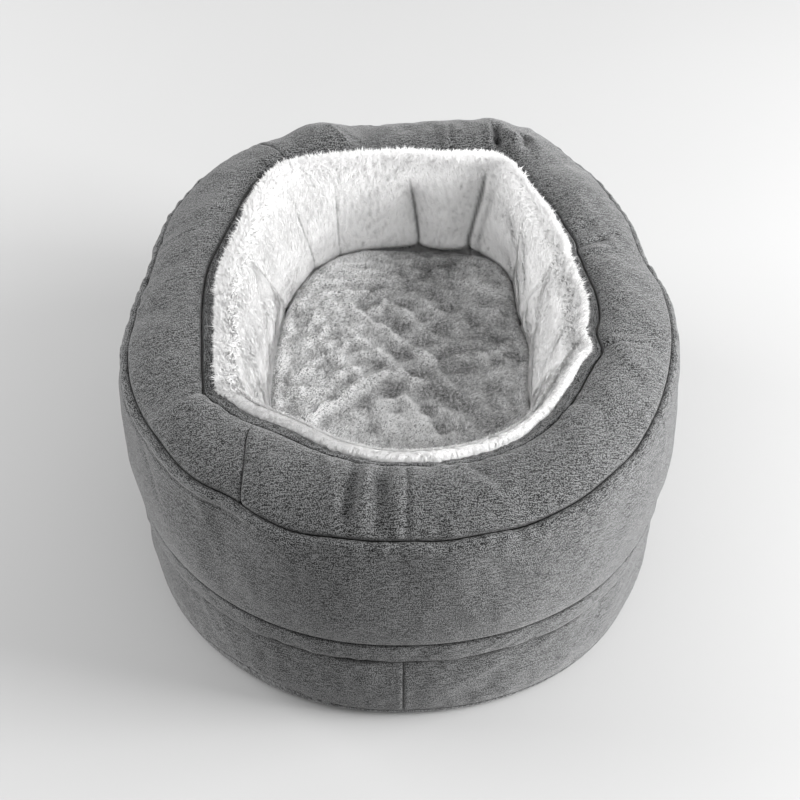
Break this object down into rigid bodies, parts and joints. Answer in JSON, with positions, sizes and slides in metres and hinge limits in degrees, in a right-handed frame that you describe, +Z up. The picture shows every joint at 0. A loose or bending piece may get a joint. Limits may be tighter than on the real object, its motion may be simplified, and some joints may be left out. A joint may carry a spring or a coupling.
{
  "type": "dog nest bed",
  "caption": "Deep oval nest bed for a dog: a padded ring with a plush inner wall on a low padded base, with a loose plush floor cushion.",
  "frame": {"origin": "middle of the bed on the floor: the centre of the bounding box in plan, at its lowest level", "axes": "+Z up, -Y the front with the upright seam of the base band, +X to the right seen from the front"},
  "size_m": [0.5494, 0.6102, 0.2985],
  "materials": {
    "outer_cloth_top_short": "woven melange cloth",
    "outer_cloth_top_long": "woven melange cloth",
    "outer_cloth_side": "woven melange cloth",
    "outer_cloth_binding": "woven melange cloth",
    "pale_fur": "long soft pile",
    "outer_cloth_strip": "woven melange cloth",
    "outer_cloth_base": "woven melange cloth",
    "bottom_cloth": "woven melange cloth",
    "grey_plush": "short plush with pale tips"
  },
  "bodies": {
    "root": {"top_panel_short": "outer_cloth_top_short", "top_panel_long": "outer_cloth_top_long", "side_panel": "outer_cloth_side", "opening_binding": "outer_cloth_binding", "inner_wall": "pale_fur", "closure_strip": "outer_cloth_strip", "base_band": "outer_cloth_base", "bottom_panel": "bottom_cloth", "floor_cushion": "grey_plush"}
  },
  "joints": []
}
